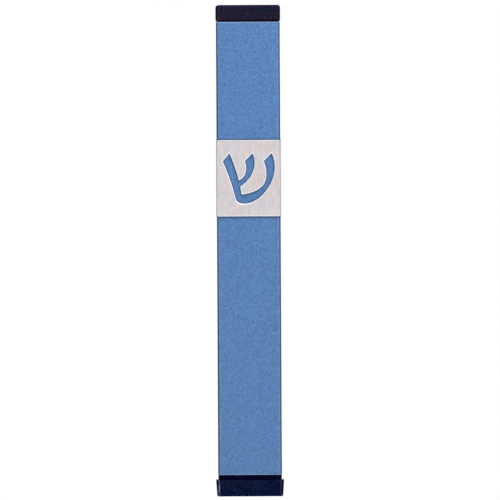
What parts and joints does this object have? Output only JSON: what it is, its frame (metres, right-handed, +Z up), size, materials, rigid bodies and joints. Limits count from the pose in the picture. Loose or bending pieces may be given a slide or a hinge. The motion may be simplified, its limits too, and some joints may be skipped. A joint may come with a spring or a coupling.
{
  "type": "mezuzah case",
  "caption": "Upright rectangular tube case for a rolled scroll, with push-in end plugs, a plate with a cut-out letter on its front, and an adhesive back for a doorpost.",
  "frame": {"origin": "on the doorpost plane behind the case, at the middle of its width and of its whole height", "axes": "+Z up the case, +Y into the doorpost, so the front faces -Y, and +X to the right as seen from the front"},
  "size_m": [0.0212, 0.0167, 0.154],
  "materials": {
    "anodised_blue": "satin",
    "brushed_plate": "satin",
    "adhesive_film": "matte",
    "cap_plastic": "satin",
    "parchment": "matte",
    "clear_film": "gloss",
    "foam_tape": "matte"
  },
  "bodies": {
    "case": {"body_tube": "anodised_blue", "shin_plate": "brushed_plate", "plate_adhesive": "adhesive_film", "mounting_tape": "foam_tape"},
    "top_cap": {"top_cap": "cap_plastic"},
    "bottom_cap": {"bottom_cap": "cap_plastic"},
    "scroll": {"parchment": "parchment", "scroll_sleeve": "clear_film"}
  },
  "joints": [
    {"name": "bottom_cap_slide", "type": "slide", "parent": "case", "child": "bottom_cap", "axis": [0, 0, -1], "range_m": [0, 0.14]},
    {"name": "top_cap_slide", "type": "slide", "parent": "case", "child": "top_cap", "axis": [0, 0, 1], "range_m": [0, 0.03]},
    {"name": "scroll_slide", "type": "slide", "parent": "case", "child": "scroll", "axis": [0, 0, -1], "range_m": [0, 0.14]}
  ],
  "couplings": [
    {"joint": "scroll_slide", "follows": "bottom_cap_slide", "ratio": 1}
  ]
}
